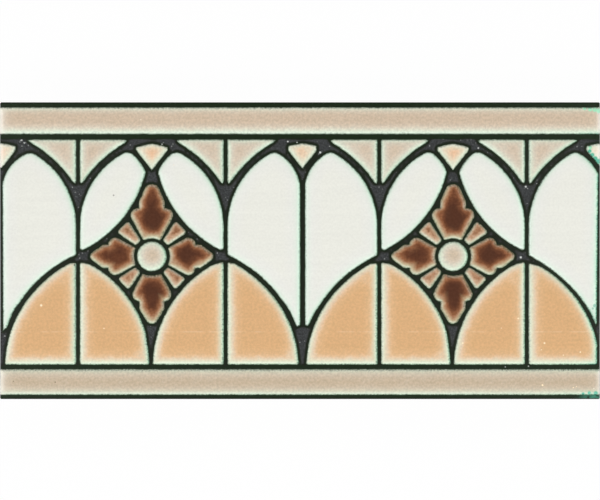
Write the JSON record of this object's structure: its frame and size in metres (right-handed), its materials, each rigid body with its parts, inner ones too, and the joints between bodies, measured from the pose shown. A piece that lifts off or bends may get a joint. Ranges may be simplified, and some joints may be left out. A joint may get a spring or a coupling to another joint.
{
  "type": "border tile",
  "caption": "Glazed ceramic border tile with an interlaced pointed arcade, lobed rosettes and plain edge bands in dry-line relief.",
  "frame": {"origin": "middle of the flat back, on the surface that the tile lies on", "axes": "+X along the border, +Y across it towards the fans, +Z out of the glazed face"},
  "size_m": [0.1524, 0.0754, 0.0095],
  "materials": {
    "fired_body": "matte",
    "dry_line": "matte",
    "ivory_glaze": "gloss",
    "peach_glaze": "gloss",
    "sand_glaze": "gloss",
    "brown_glaze": "gloss"
  },
  "bodies": {
    "root": {"border_tile": "fired_body"}
  },
  "joints": []
}
